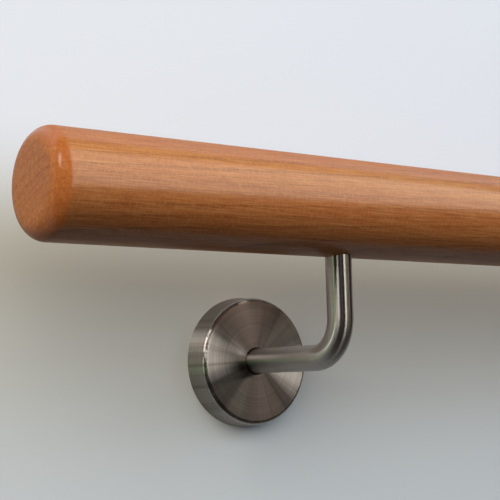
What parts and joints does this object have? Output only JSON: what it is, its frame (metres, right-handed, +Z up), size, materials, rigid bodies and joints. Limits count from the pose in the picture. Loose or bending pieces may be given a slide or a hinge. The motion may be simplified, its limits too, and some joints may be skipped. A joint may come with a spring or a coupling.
{
  "type": "wall handrail",
  "caption": "Round varnished beech handrail with rounded ends, carried off the wall on bent steel rod brackets with round cover cups.",
  "frame": {"origin": "centre of the left wall plate, in the plane of the wall", "axes": "+X along the rail to the right, +Y into the wall, +Z up"},
  "size_m": [1, 0.0995, 0.1212],
  "materials": {
    "rail_wood": "clear satin varnish",
    "arm_steel": "satin ground along the rod",
    "cover_steel": "brushed round the centre",
    "plate_steel": "mill finish",
    "weld_steel": "as welded",
    "bolt_steel": "bright"
  },
  "bodies": {
    "root": {"rail": "rail_wood", "left_arm": "arm_steel", "left_wall_plate": "plate_steel", "left_weld": "weld_steel", "left_cover": "cover_steel", "left_hanger_bolt": "bolt_steel", "right_arm": "arm_steel", "right_wall_plate": "plate_steel", "right_weld": "weld_steel", "right_cover": "cover_steel", "right_hanger_bolt": "bolt_steel"}
  },
  "joints": []
}
